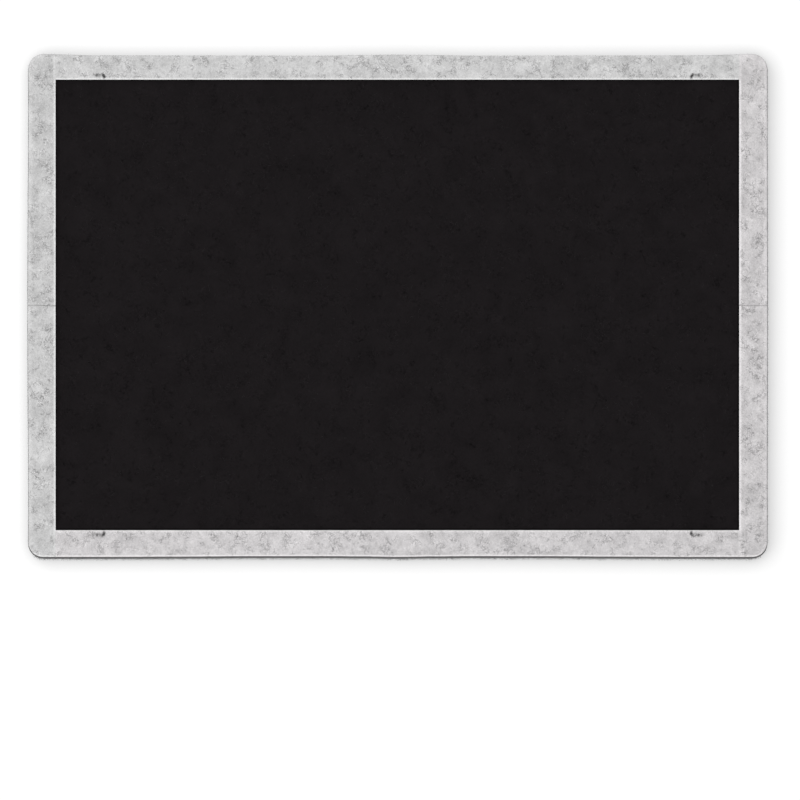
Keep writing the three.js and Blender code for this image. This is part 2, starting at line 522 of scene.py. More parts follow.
def makeFoam(values):
    # Closed-cell foam tape: small round pores painted darker as the shade in their hollows, thumbed
    # patches, and a faint yellow cast from the adhesive
    material, tree, shader, position = newMaterial("foam", **values["shader"])
    cells = tree.node("TexVoronoi", {"feature": "F1"}, Vector=position, Scale=values["cellScale"])
    pores = tree.between(cells.outputs["Distance"], *values["poreStep"], 1.0, 0.0)
    patches = tree.noise(position, values["patchScale"], Detail=3.0)
    colour = tree.mix(tree.between(patches, *values["patchStep"]), values["thumbed"], values["clean"])
    # painted shade in the pores
    colour = tree.mix(tree.math("MULTIPLY", pores, values["poreShadeStrength"]), colour, values["pore"])
    tree.feed(shader.inputs["Base Color"], colour)
    roughness = tree.math("MULTIPLY_ADD", pores, values["poreRoughness"], values["roughness"])
    roughness = tree.math("MULTIPLY_ADD", patches, values["patchRoughness"], roughness)
    tree.feed(shader.inputs["Roughness"], roughness)
    addBump(tree, shader, pores, values["bump"])
    return material


adhesiveFilm = {
    "shader": {"Roughness": 0.35, "Specular_IOR_Level": 0.5},
    "wetted": toneOf(202, 14.0),
    "airy": toneOf(228, 8.0),
    "airScale": 0.6,
    "airStep": (0.35, 0.65),
    "roughness": (0.28, 0.5),
    "bump": 0.05 * mm,
}


def makeAdhesive(values):
    # Thin double-sided film: honey coloured, with trapped air and slightly tacky gloss
    material, tree, shader, position = newMaterial("adhesive", **values["shader"])
    air = tree.noise(position, values["airScale"], Detail=4.0, Roughness=0.6)
    colour = tree.mix(tree.between(air, *values["airStep"]), values["wetted"], values["airy"])
    tree.feed(shader.inputs["Base Color"], colour)
    tree.feed(shader.inputs["Roughness"], tree.between(air, *values["airStep"], *values["roughness"]))
    addBump(tree, shader, air, values["bump"])
    return material


# Plates: every felt or foam piece is one. Its outline is a rectangle, with a radius for each corner. Side k
# runs from corner k along way k, with way k + 1 inwards. Corners name the sides that give their X and Z.
sides = ("bottom", "right", "top", "left")
ways = ((1, 0), (0, 1), (-1, 0), (0, -1))
corners = {
    "bottomLeft": ("left", "bottom"),
    "bottomRight": ("right", "bottom"),
    "topRight": ("right", "top"),
    "topLeft": ("left", "top"),
}
cornerNames = tuple(corners)
cornerReach = 3  # how far from a corner the points for its arc are drawn from, in core insets
seamSlack = 0.01 * mm  # how far past the opening a strip's inner edge counts as lying against a rail
smoothSpans = {"rounding": 3, "member": 3, "shift": 2}  # in stations to either side
raggedWave = (5 * mm, 5)  # wavelength and seed of the cut edges' unevenness


def plateOf(node, **changes):
    low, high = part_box(node)
    plate = {
        "left": low.x,
        "right": high.x,
        "bottom": low.z,
        "top": high.z,
        "front": low.y,
        "back": high.y,
        "radii": dict.fromkeys(cornerNames, 0.0),
    }
    plate.update(changes)
    return plate


def cornersOf(area):
    # The lower left and the upper right corner of a plate or an opening
    return np.array([area["left"], area["bottom"]]), np.array([area["right"], area["top"]])


def standing(flat, depth):
    # Points (x, z) of the board's plane set at the depth y
    return np.column_stack([flat[:, 0], np.broadcast_to(depth, len(flat)), flat[:, 1]])


def halfSide(along, coreInset, reach, radius):
    # From a corner's middle along one side. `along` is the distance on the core from its own corner. Within
    # `reach` the outline is stretched to take in the corner's arc: point = (R + s - arc, 0) on the straight
    # and (R - R cos a, R - R sin a) on the arc. Gives the points and the ways inwards, along and across it.
    arc = radius * math.pi / 4
    stretched = along * (reach + coreInset - radius + arc) / reach
    onArc = stretched < arc
    angle = math.pi / 4 + np.where(onArc, stretched / max(radius, tiny), 0)
    beside = np.where(onArc, radius - radius * np.cos(angle), radius + stretched - arc)
    beside = np.where(along < reach, beside, coreInset + along)
    into = np.where(onArc, radius - radius * np.sin(angle), 0)
    inwardBeside = np.where(onArc, np.cos(angle), (coreInset + along - beside) / coreInset)
    inwardInto = np.where(onArc, np.sin(angle), 1)
    return beside, into, inwardBeside, inwardInto


def stationsOf(plate, coreInset, spacing):
    # Stations round the outline, one for each point round the edge of the core's grid. Gives the outline's
    # points, the ways inwards, the core's points, the side of each, and the grid's steps across and up.
    width = plate["right"] - plate["left"]
    height = plate["top"] - plate["bottom"]
    counts = [max(2, round((size - 2 * coreInset) / spacing)) for size in (width, height)]
    outline, inward, core, side = [], [], [], []
    for k, (acrossName, upName) in enumerate(corners.values()):
        size, count = ((width, counts[0]), (height, counts[1]))[k % 2]
        coreSize = size - 2 * coreInset
        along = np.arange(count) * coreSize / count
        reach = min(cornerReach * coreInset, coreSize / 2)
        radii = [plate["radii"][cornerNames[(k + step) % 4]] for step in (0, 1)]
        first = halfSide(along, coreInset, reach, radii[0])
        last = halfSide(coreSize - along, coreInset, reach, radii[1])
        early = along < coreSize / 2
        turned = (size - last[0], last[1], -last[2], last[3])
        beside, into, inwardBeside, inwardInto = (np.where(early, *both) for both in zip(first, turned))
        way, across = np.array(ways[k]), np.array(ways[(k + 1) % 4])
        start = np.array([plate[acrossName], plate[upName]])
        outline.append(start + np.outer(beside, way) + np.outer(into, across))
        inward.append(np.outer(inwardBeside, way) + np.outer(inwardInto, across))
        core.append(start + np.outer(coreInset + along, way) + coreInset * across)
        side.append(np.full(count, k))
    return tuple(np.concatenate(rows) for rows in (outline, inward, core, side)) + (counts,)


def gridFaces(rows, columns, closed):
    # Quads of a grid of points numbered row by row. A closed grid joins its last column to its first.
    row = np.arange(rows - 1)[:, None] * columns
    column = np.arange(columns if closed else columns - 1)[None, :]
    beyond = (column + 1) % columns
    quad = (row + column, row + beyond, row + columns + beyond, row + columns + column)
    return np.stack(quad, axis=-1).reshape(-1, 4)


def coreEdge(counts):
    # Numbers of the core grid's points in the order of the stations: bottom, right, top, left
    across, up = counts
    wide = across + 1
    bottom = np.arange(across)
    right = np.arange(up) * wide + across
    top = up * wide + np.arange(across, 0, -1)
    left = np.arange(up, 0, -1) * wide
    return np.concatenate([bottom, right, top, left])


def coreGrid(plate, inset, counts):
    # The core's points, row by row from the bottom
    xs = np.linspace(plate["left"] + inset, plate["right"] - inset, counts[0] + 1)
    zs = np.linspace(plate["bottom"] + inset, plate["top"] - inset, counts[1] + 1)
    return np.stack(np.meshgrid(xs, zs), axis=-1).reshape(-1, 2)


def quarterRound(radius, angle):
    # How far a rounded edge is in from the side, r (1 - cos a), and behind the face, r (1 - sin a)
    return radius * (1 - math.cos(angle)), radius * (1 - math.sin(angle))


def ringsOf(plate, shape, rounding):
    # The section that is carried round the outline, from the back's core to the front's. Each ring has its
    # inset, depth, share of the way from the rim to the core, and the way that it faces, outwards and
    # forwards.
    front, back, rim, backRound = plate["front"], plate["back"], shape["rim"], shape["backRounding"]
    shares = [step / shape["innerSteps"] for step in range(shape["innerSteps"])]
    angles = np.linspace(0, math.pi / 2, shape["roundSteps"] + 1)
    rings = [(rim, back, share, 0.0, -1.0) for share in shares[::-1]]
    for angle in angles[::-1]:
        inset, drop = quarterRound(backRound, angle)
        rings.append((inset, back - drop, 0.0, math.cos(angle), -math.sin(angle)))
    for share in np.linspace(0, 1, shape["wallSteps"] + 1)[1:-1]:
        depth = (1 - share) * (back - backRound) + share * (front + rounding)
        rings.append((0.0, depth, 0.0, 1.0, 0.0))
    for angle in angles:
        inset, drop = quarterRound(rounding, angle)
        rings.append((inset, front + drop, 0.0, math.cos(angle), math.sin(angle)))
    return rings + [(rim, front, share, 0.0, 1.0) for share in shares]


# How far in from the straight line each outer edge was cut, in millimetres, from its middle to its ends
handCut = {
    "shares": (0.0, 0.1, 0.2, 0.4, 0.6, 0.8, 1.0),
    "top": (0.5, 0.72, 1.1, 1.05, 1.0, 0.9, -0.1),
    "bottom": (-0.05, 0.25, 0.4, 0.37, 0.1, -0.05, -0.05),
    "left": (-0.39, -0.4, -0.32, -0.19, 0.05, 0.1, -0.1),
    "right": (-0.15, -0.15, -0.1, -0.05, 0.0, 0.0, 0.0),
}


def cutWander(flat, k):
    # The hand-cut table of side k carried along it, as distances inwards, with smooth steps between
    end = (frameHigh.x, frameHigh.z)[k % 2]
    count = len(handCut["shares"])
    share = np.interp(np.abs(flat[:, k % 2]) / end, handCut["shares"], np.arange(count))
    first = np.minimum(share.astype(int), count - 2)
    blend = smoothStep(0, 1, share - first)
    table = np.array(handCut[sides[k]]) * mm
    return table[first] * (1 - blend) + table[first + 1] * blend


def smoothRound(values, span):
    # Each value becomes the mean of its neighbours round the closed outline
    span = min(span, len(values) // 3)
    shifted = [np.roll(values, step, axis=0) for step in range(-span, span + 1)]
    return sum(shifted) / len(shifted)


def byKind(kinds, table):
    # The table's value for each station's kind of edge
    return np.select([kinds == kind for kind in table], list(table.values()))


def outlineFacts(plate, shape):
    # The cut outline of a plate: its stations, each with its kind of edge, rounding and shift inwards.
    # Loose is 0 where the edge lies against another strip and stays straight.
    outline, inward, core, side, counts = stationsOf(plate, shape["coreInset"], shape["spacing"])
    kinds = np.array([plate["edges"][name] for name in sides])[side]
    above = outline[:, 1] > opening["top"] + seamSlack
    below = outline[:, 1] < opening["bottom"] - seamSlack
    kinds = np.where((kinds == "inner") & (above | below), "lap", kinds)
    facing = inward / np.linalg.norm(inward, axis=1)[:, None]
    shift = (byKind(kinds, shape["ragged"]) * planeWaves(outline, *raggedWave))[:, None] * facing
    for k, name in enumerate(sides):
        if plate["edges"][name] == "outer":
            member = smoothRound((side == k).astype(float), smoothSpans["member"]) > 0
            cut = cutWander(outline, k) * shape["wander"][name] * member
            shift = shift + np.outer(cut, ways[(k + 1) % 4])
    return {
        "outline": outline,
        "inward": inward,
        "facing": facing,
        "shift": smoothRound(shift, smoothSpans["shift"]),
        "core": core,
        "side": side,
        "kinds": kinds,
        "rounding": smoothRound(byKind(kinds, shape["rounding"]), smoothSpans["rounding"]),
        "loose": np.isin(kinds, ("outer", "inner", "tape")).astype(float),
        "counts": counts,
    }


def edgePaleAndHighlight(facts, inset, bands):
    # How much paler each station of a ring is, as cut fibre and as a painted highlight: rising from the
    # edge, full up to the start, gone at the end
    total = np.zeros(len(facts["kinds"]))
    for (kind, *names), (strength, rise, start, end) in bands.items():
        on = (facts["kinds"] == kind) & np.isin(facts["side"], [sides.index(name) for name in names])
        band = on * strength * smoothStep(-rise, rise, inset) * (1 - smoothStep(start, end, inset))
        total = np.maximum(total, band)
    return total


def makeObject(name, points, faces, material):
    mesh = bpy.data.meshes.new(name)
    mesh.from_pydata(points.tolist(), [], faces)
    mesh.update()
    mesh.polygons.foreach_set("use_smooth", np.ones(len(mesh.polygons), bool))
    mesh.materials.append(material)
    return addObject(name, mesh)


def setAttribute(made, label, values):
    attribute = made.data.attributes.new(label, "FLOAT", "POINT")
    attribute.data.foreach_set("value", np.asarray(values, dtype=np.float32))


def plateFaces(ringCount, stationCount, counts):
    # Quads of the rings, of the steps from the first and the last ring to the cores' edges, and of the
    # cores. Points are numbered by the rings, then the front's core and then the back's.
    firstFront = ringCount * stationCount
    firstBack = firstFront + (counts[0] + 1) * (counts[1] + 1)
    loop = np.arange(stationCount)
    after = (loop + 1) % stationCount
    edge = coreEdge(counts)
    lastRing = firstFront - stationCount
    grid = gridFaces(counts[1] + 1, counts[0] + 1, False)
    faces = [
        gridFaces(ringCount, stationCount, True),
        np.column_stack([lastRing + loop, lastRing + after, firstFront + edge[after], firstFront + edge]),
        np.column_stack([loop, firstBack + edge, firstBack + edge[after], after]),
        firstFront + grid,
        firstBack + grid[:, ::-1],
    ]
    return np.concatenate(faces).tolist()


def makePlate(name, plate, shape, material, bands=None):
    # A plate: rings carried round its cut outline, closed by a grid of points on its front and its back.
    # Bands are the strengths, by kind of edge, of the paler cut edges, partly cut fibre and partly a painted
    # highlight. Relief moves each point along its normal. Gives the piece and its points.
    facts = outlineFacts(plate, shape)
    rings = ringsOf(plate, shape, facts["rounding"])
    points, normals, pale = [], [], []
    for inset, depth, share, outwards, forwards in rings:
        rim = facts["outline"] + np.reshape(inset, (-1, 1)) * facts["inward"]
        flat = rim + share * (facts["core"] - rim) + facts["shift"] * (1 - share)
        points.append(standing(flat, depth))
        aside = -outwards * facts["facing"] * facts["loose"][:, None] * shape["wallRelief"]
        normals.append(standing(aside, -forwards))
        pale.append(edgePaleAndHighlight(facts, inset + share * (shape["coreInset"] - inset), bands or {}))
    core = coreGrid(plate, shape["coreInset"], facts["counts"])
    for depth, normal in ((plate["front"], -1.0), (plate["back"], 1.0)):
        points.append(standing(core, depth))
        normals.append(standing(np.zeros_like(core), normal))
        pale.append(np.zeros(len(core)))
    points, normals, pale = (np.concatenate(rows) for rows in (points, normals, pale))
    points = points + normals * layeredWaves(points, shape["relief"])[:, None]
    points[:, 1] = np.minimum(points[:, 1], plate["back"])
    made = makeObject(name, points, plateFaces(len(rings), len(facts["outline"]), facts["counts"]), material)
    if bands:
        setAttribute(made, "pale", pale)
    return made, points


# The opening inside the edging: so much is trimmed off the strips' widths
trimmed = {"left": 0.25 * mm, "right": 0.46 * mm, "bottom": 0.24 * mm, "top": 0.28 * mm}
opening = {
    "left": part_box("left_stile_upper")[1].x - trimmed["left"],
    "right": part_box("right_stile_upper")[0].x + trimmed["right"],
    "bottom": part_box("bottom_rail")[1].z - trimmed["bottom"],
    "top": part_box("top_rail")[0].z + trimmed["top"],
}
openingInMm = {
    "Centre_X": (opening["left"] + opening["right"]) / 2 / mm,
    "Centre_Z": (opening["bottom"] + opening["top"]) / 2 / mm,
    "Half_Width": (opening["right"] - opening["left"]) / 2 / mm,
    "Half_Height": (opening["top"] - opening["bottom"]) / 2 / mm,
}

# The panel. A relief's layers are wavelength, height and seed, and steps count rings along the section.
panelShape = {
    "cornerRadius": 9.5 * mm,
    "moved": {"bottom": -0.38 * mm, "right": 0.06 * mm, "left": -0.05 * mm},  # sides, along X or Z
    "coreInset": 14 * mm,
    "spacing": 1.9 * mm,
    "rim": 2 * mm,
    "innerSteps": 6,
    "roundSteps": 4,
    "wallSteps": 14,
    "rounding": {"outer": 0.8 * mm},
    "backRounding": 0.5 * mm,
    "relief": ((14 * mm, 0.035 * mm, 11), (5 * mm, 0.02 * mm, 12)),
    "wallRelief": 0.4,  # the share of the relief that the cut edges have
    "ragged": {"outer": 0.03 * mm},
    "wander": {"bottom": 1.0, "right": 1.0, "top": 1.05, "left": 1.0},
}

# The grey edging strips. A stile's inner edge is a lap where it runs on past the opening, beside a rail's
# butt, and mid is where its two lengths meet.
stripShape = {
    "coreInset": 4.5 * mm,
    "spacing": 0.5 * mm,
    "rim": 1.1 * mm,
    "innerSteps": 6,
    "roundSteps": 5,
    "wallSteps": 6,
    "rounding": {"outer": 0.5 * mm, "inner": 0.14 * mm, "lap": 0.05 * mm, "butt": 0.05 * mm, "mid": 0.4 * mm},
    "backRounding": 0.2 * mm,
    "relief": ((9 * mm, 0.03 * mm, 21), (3 * mm, 0.013 * mm, 22), (1.3 * mm, 0.009 * mm, 23)),
    "wallRelief": 0.35,
    "ragged": {"outer": 0.012 * mm, "inner": 0.006 * mm, "lap": 0.0, "butt": 0.0, "mid": 0.0},
    "wander": dict.fromkeys(sides, 1.0),
}
stripCorners = {
    "left_stile_upper": ("topLeft", 9.3 * mm),
    "left_stile_lower": ("bottomLeft", 8.7 * mm),
    "right_stile_upper": ("topRight", 9.3 * mm),
    "right_stile_lower": ("bottomRight", 8.7 * mm),
}
stripEdges = {
    "top_rail": {"bottom": "inner", "right": "butt", "top": "outer", "left": "butt"},
    "bottom_rail": {"bottom": "outer", "right": "butt", "top": "inner", "left": "butt"},
    "left_stile_upper": {"bottom": "mid", "right": "inner", "top": "outer", "left": "outer"},
    "left_stile_lower": {"bottom": "outer", "right": "inner", "top": "mid", "left": "outer"},
    "right_stile_upper": {"bottom": "mid", "right": "outer", "top": "outer", "left": "inner"},
    "right_stile_lower": {"bottom": "outer", "right": "outer", "top": "mid", "left": "inner"},
}
# Each strip's lot of felt: how far its shade is from the middle, and how warm it is
lots = {
    "top_rail": (-0.042, 0.0),
    "bottom_rail": (-0.028, 1.0),
    "left_stile_upper": (-0.08, 0.0),
    "left_stile_lower": (-0.08, 0.0),
    "right_stile_upper": (-0.046, 1.0),
    "right_stile_lower": (-0.046, 1.0),
}
seams = {
    "rail": 0.01 * mm,  # left open between a rail's end and the stile
    "stile": 0.02 * mm,  # left open between a stile's two lengths
    "jointDarkening": (0.9 * mm, 0.09),  # how far the darker band at that joint reaches, and how strong it is
}


def stripPlate(node):
    # The node's own box, with its ends run out to the seams that show and its inner edge cut to the opening
    plate = plateOf(node)
    stileGap = plateOf("left_stile_upper")["bottom"] - plateOf("left_stile_lower")["top"]
    runOut = (stileGap - seams["stile"]) / 2
    if "rail" in node:
        plate["left"] = opening["left"] + seams["rail"]
        plate["right"] = opening["right"] - seams["rail"]
    elif "upper" in node:
        plate["bottom"] -= runOut
    else:
        plate["top"] += runOut
    plate["edges"] = stripEdges[node]
    inner = next(k for k, name in enumerate(sides) if plate["edges"][name] == "inner")
    plate[sides[inner]] = opening[sides[(inner + 2) % 4]]
    if node in stripCorners:
        corner, radius = stripCorners[node]
        plate["radii"][corner] = radius
    return plate


# Cut edges are paler, partly as the felt's own cut fibre and partly as a painted highlight. By the kind of
# edge and its sides: the strength, how far in it takes to rise, where it starts to fade and where it is gone
panelPaleAndHighlitBands = {
    ("outer", "bottom"): (1.0, 0.1 * mm, 1.2 * mm, 2.0 * mm),
    ("outer", "right", "top", "left"): (0.3, 0.1 * mm, 0.6 * mm, 1.4 * mm),
}
stripPaleAndHighlitBands = {
    ("inner", "right"): (1.0, 0.3 * mm, 0.8 * mm, 1.25 * mm),
    ("inner", "left"): (0.95, 0.2 * mm, 0.75 * mm, 1.35 * mm),
    ("inner", "bottom"): (1.0, 0.1 * mm, 0.7 * mm, 1.2 * mm),
    ("inner", "top"): (0.42, 0.05 * mm, 0.7 * mm, 1.6 * mm),
    ("lap", "left", "right"): (0.42, 0.15 * mm, 0.7 * mm, 1.6 * mm),
    ("butt", "left", "right"): (0.2, 0.1 * mm, 0.4 * mm, 1.3 * mm),
    ("outer", "bottom"): (0.9, 0.1 * mm, 0.6 * mm, 1.2 * mm),
    ("outer", "left", "right"): (0.19, 0.5 * mm, 1.3 * mm, 3.0 * mm),
    ("outer", "top"): (0.06, 0.3 * mm, 0.8 * mm, 2.4 * mm),
}

# Tangles of dark wool caught in the edging at the rails' ends, each a knot with a smear beside it. The four
# are mirror images. A knot is its place across and down from the tangle's, towards the board's middle, its
# size, all in pixels of the photograph, and its strength.
tangles = {
    "leftPixel": 103.2,
    "rightPixel": 692.2,
    "topPixel": 75.2,
    "bottomPixel": 534.8,
    "knots": (
        (-0.8, -1.1, 1.1, 0.55),
        (0.2, 0.2, 1.45, 1.0),
        (0.9, 1.5, 1.25, 1.0),
        (0.8, 3.4, 1.2, 0.3),
        (-3.5, -0.2, 1.9, 0.4),
        (-6.3, -0.1, 1.7, 0.68),
        (-9.2, -0.3, 1.7, 0.28),
    ),
    "uneven": 0.15,  # the share of a smudge's strength that varies in waves
    "unevenWave": (1.6 * mm, 31),  # wavelength and seed
    "strandsEach": 32,
    "strandSpread": 0.4,  # of a knot's size
    "paler": 0.45,  # how much paler the strands of a faint knot are
    "strands": {
        "steps": 10,
        "length": (0.8 * mm, 2.0 * mm),
        "radius": (0.04 * mm, 0.08 * mm),
        "tones": (0.0, 0.06),
        "curl": 780.0,
    },
}


def tangleKnots():
    # The place on the board's front, the size and the strength of every knot
    centreX, centreY = view["boardCentrePixel"]
    for y, down in ((tangles["topPixel"], 1), (tangles["bottomPixel"], -1)):
        for x, across in ((tangles["leftPixel"], 1), (tangles["rightPixel"], -1)):
            for right, below, size, strength in tangles["knots"]:
                place = np.array([x + across * right - centreX, centreY - (y + down * below)])
                yield place * view["pixel"], size * view["pixel"], strength


gathering = {
    "layers": ((9 * mm, 1.0, 33), (4 * mm, 0.6, 34)),  # wavelength, height and seed
    "step": (-0.2, 1.4),
}


def gatheredOf(points):
    # Where the dark wool gathers, 0 to 1: two sizes of crossing waves
    return smoothStep(*gathering["step"], layeredWaves(points, gathering["layers"]))


def stripExtras(node, points, plate):
    # A strip's attributes: the smudges s exp(-d^2) of its knots, a darker band s exp(-d^2) along the joint
    # at mid height, its lot of felt, and where its wool gathers
    flat = points[:, [0, 2]]
    smudge = np.zeros(len(points))
    for place, size, strength in tangleKnots():
        away = np.linalg.norm(flat - place, axis=1) / size
        smudge = np.maximum(smudge, strength * np.exp(-(away**2)))
    for name in sides:
        if plate["edges"][name] == "mid":
            reach, strength = seams["jointDarkening"]
            away = (flat[:, 1] - plate[name]) / reach
            smudge = np.maximum(smudge, strength * np.exp(-(away**2)))
    uneven = 1 - tangles["uneven"] + tangles["uneven"] * planeWaves(points, *tangles["unevenWave"])
    lot, warm = (np.full(len(points), value) for value in lots[node])
    smudge = np.clip(smudge * uneven, 0, 1)
    return {"smudge": smudge, "lot": lot, "warm": warm, "gathered": gatheredOf(points)}


# The wall pads: die-cut pieces of foam tape
padShape = {
    "cornerRadius": 2.0 * mm,
    "coreInset": 3.2 * mm,
    "spacing": 0.55 * mm,
    "rim": 0.5 * mm,
    "innerSteps": 4,
    "roundSteps": 3,
    "wallSteps": 3,
    "rounding": {"tape": 0.12 * mm},
    "backRounding": 0.1 * mm,
    "relief": ((3 * mm, 0.008 * mm, 41),),
    "wallRelief": 1.0,
    "ragged": {"tape": 0.02 * mm},
    "wander": dict.fromkeys(sides, 0.0),
}
padNodes = [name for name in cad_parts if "wall_pad" in name]

# Loose fibres: thin three-sided strands that lie in the felt's surface
strand = {
    "sides": 3,
    "endShare": 0.25,  # a tip's radius as a share of the middle's
    "swellPower": 0.6,
    "sway": 0.5,  # spread of the heading's slow sway, in radians
    "swayPhases": 6.0,  # it starts anywhere from 0 to this
    "rise": 1.3,  # of its middle out of the surface, in radii
    "sink": 0.6,  # of its ends into the surface, in radii
    "fromEdge": 0.1 * mm,
    "fromPads": 0.3 * mm,
}


def outlineDepth(plate, flat):
    # How far inside the plate's outline each point lies: R - |max(p, 0)| - min(max(px, pz), 0), with p the
    # distances past the sides plus the corner's radius R
    low, high = cornersOf(plate)
    away = flat - (low + high) / 2
    lower, left = away[..., 1] < 0, away[..., 0] < 0
    quarter = np.where(lower, np.where(left, 0, 1), np.where(left, 3, 2))
    radius = np.array([plate["radii"][name] for name in cornerNames])[quarter]
    past = np.abs(away) - (high - low) / 2 + radius[..., None]
    outside = np.linalg.norm(np.maximum(past, 0), axis=-1)
    return radius - outside - np.minimum(past.max(axis=-1), 0)


def wandered(plate, shape, flat):
    # Places on the drawn plate moved with its hand-cut edges: fully at the rim and not at all at the core
    moved = flat.copy()
    for k, name in enumerate(sides):
        if plate["edges"][name] != "outer":
            continue
        axis = 1 - k % 2
        inwards = ways[(k + 1) % 4][axis]
        away = (flat[..., axis] - plate[name]) * inwards
        fade = 1 - np.clip((away - shape["rim"]) / (shape["coreInset"] - shape["rim"]), 0, 1)
        shift = cutWander(flat.reshape(-1, 2), k).reshape(away.shape)
        moved[..., axis] += inwards * shift * shape["wander"][name] * fade
    return moved


def surfaceDepth(plate, shape, flat, behind):
    # The Y of the front surface: flat inside, and dropping as a quarter circle r - sqrt(r^2 - (r - d)^2)
    # towards the outline. The back's is flat, and its relief only goes inwards.
    level = plate["back"] if behind else plate["front"]
    relief = layeredWaves(standing(flat.reshape(-1, 2), level), shape["relief"]).reshape(flat.shape[:-1])
    if behind:
        return level + np.minimum(relief, 0)
    radius = max(shape["rounding"].values())
    inset = np.clip(outlineDepth(plate, flat), 0, radius)
    drop = radius - np.sqrt(radius**2 - (radius - inset) ** 2)
    return level + drop - relief


def curlPaths(random, starts, lengths, steps, curl):
    # Strands in the plane: each heading turns steadily with a slow sway, and its running sum is the path
    count = len(starts)
    share = np.linspace(0, 1, steps)
    turn = random.normal(0, curl, (count, 1)) * lengths[:, None]
    sway = random.normal(0, strand["sway"], (count, 1))
    sway = sway * np.sin(2 * math.pi * share + random.uniform(0, strand["swayPhases"], (count, 1)))
    heading = random.uniform(0, 2 * math.pi, (count, 1)) + turn * share + sway
    stride = (lengths / (steps - 1))[:, None]
    path = np.stack([np.cumsum(way(heading) * stride, axis=1) for way in (np.cos, np.sin)], axis=-1)
    return starts[:, None, :] + path - path.mean(axis=1, keepdims=True)


def strandTubes(paths, radii, up):
    # Three-sided tubes along paths, thinner at their ends: each ring is p + r (cos a side + sin a lift)
    count, steps, _ = paths.shape
    around = np.arange(strand["sides"])
    ahead = np.gradient(paths, axis=1)
    ahead /= np.linalg.norm(ahead, axis=-1, keepdims=True)
    side = np.cross(ahead, up)
    side /= np.maximum(np.linalg.norm(side, axis=-1, keepdims=True), tiny)
    lift = np.cross(side, ahead)
    end, power = strand["endShare"], strand["swellPower"]
    swell = end + (1 - end) * np.sin(math.pi * np.linspace(0, 1, steps)) ** power
    radius = radii[:, None] * swell
    angles = math.pi / 2 + 2 * math.pi * around / len(around)
    ring = np.cos(angles)[:, None] * side[:, :, None, :] + np.sin(angles)[:, None] * lift[:, :, None, :]
    points = (paths[:, :, None, :] + radius[..., None, None] * ring).reshape(-1, 3)
    tube = gridFaces(steps, len(around), True)[:, ::-1]
    first = np.arange(count)[:, None] * steps * len(around)
    quads = (first[:, None] + tube).reshape(-1, 4)
    caps = np.concatenate([first + around, first + (steps - 1) * len(around) + around[::-1]])
    return points, quads, caps


def makeStrands(name, bundles, material):
    # One object of many strands: each bundle is paths, radii, tones and the way up
    points, faces, tones = [], [], []
    first = 0
    for paths, radii, strandTones, up in bundles:
        tube, quads, caps = strandTubes(paths, radii, np.array(up))
        points.append(tube)
        faces += (quads + first).tolist() + (caps + first).tolist()
        tones.append(np.repeat(strandTones, paths.shape[1] * strand["sides"]))
        first += len(tube)
    made = makeObject(name, np.concatenate(points), faces, material)
    setAttribute(made, "tone", np.concatenate(tones))
    return made


def layStrands(random, plate, shape, starts, values, behind=False):
    # Strands laid on the front or the back, their ends tucked in, kept where the whole strand lies on the
    # piece and on the back clear of the pads. A tuple of tones is a range and a list a choice.
    count, steps = len(starts), values["steps"]
    lengths, radii = (random.uniform(*values[key], count) for key in ("length", "radius"))
    listed = isinstance(values["tones"], list)
    tones = random.choice(values["tones"], count) if listed else random.uniform(*values["tones"], count)
    flat = curlPaths(random, starts, lengths, steps, values["curl"])
    inside = outlineDepth(plate, flat).min(axis=1) > strand["fromEdge"]
    if behind:
        for pad in padNodes:
            inside &= outlineDepth(plateOf(pad), flat).max(axis=1) < -strand["fromPads"]
    flat, radii, tones = flat[inside], radii[inside], tones[inside]
    share = np.linspace(0, 1, steps)
    lift = radii[:, None] * (strand["rise"] * np.sin(math.pi * share) - strand["sink"])
    outwards = 1.0 if behind else -1.0
    depth = surfaceDepth(plate, shape, flat, behind) + outwards * lift
    flat = wandered(plate, shape, flat)
    return np.stack([flat[..., 0], depth, flat[..., 1]], axis=-1), radii, tones, (0.0, outwards, 0.0)


# Hairs out of the cut edges
hair = {
    "steps": 4,
    "fromFront": 0.3 * mm,
    "fromBack": 0.2 * mm,
    "rooted": 0.15 * mm,
    "slant": 0.4,  # how far a hair leans and bends, as a share of its length
    "mostSlant": 0.6,
}


def edgeHairs(random, plate, shape, values):
    # Short hairs that stand out of the cut edges of the sides named: p = base + L (t outwards + t^2 bend)
    facts = outlineFacts(plate, shape)
    chosen = [k for k, name in enumerate(sides) if name in values["sides"]]
    free = np.flatnonzero((facts["kinds"] == "outer") & np.isin(facts["side"], chosen))
    count = round(values["perMm"] * len(free) * shape["spacing"] / mm)
    pick = random.choice(free, count)
    share = random.uniform(0, 1, (count, 1))
    cut = facts["outline"] + facts["shift"]
    base = cut[pick] * (1 - share) + cut[(pick + 1) % len(cut)] * share
    depths = random.uniform(plate["front"] + hair["fromFront"], plate["back"] - hair["fromBack"], count)
    base = standing(base, depths)
    out = standing(-facts["facing"][pick], 0.0)
    most = hair["mostSlant"]
    lean, bend = (np.clip(random.normal(0, hair["slant"], (count, 3)), -most, most) for _ in range(2))
    lean, bend = (way - (way * out).sum(axis=1)[:, None] * out for way in (lean, bend))
    along = np.linspace(0, 1, hair["steps"])[None, :, None]
    size = random.uniform(*values["length"], count)[:, None, None]
    paths = base[:, None, :] + size * ((out + lean)[:, None, :] * along + bend[:, None, :] * along**2)
    paths -= hair["rooted"] * out[:, None, :]
    paths[..., 1] = np.clip(paths[..., 1], plate["front"], plate["back"])
    radii, tones = (random.uniform(*values[key], count) for key in ("radius", "tones"))
    return paths, radii, tones, (0.0, -1.0, 0.0)


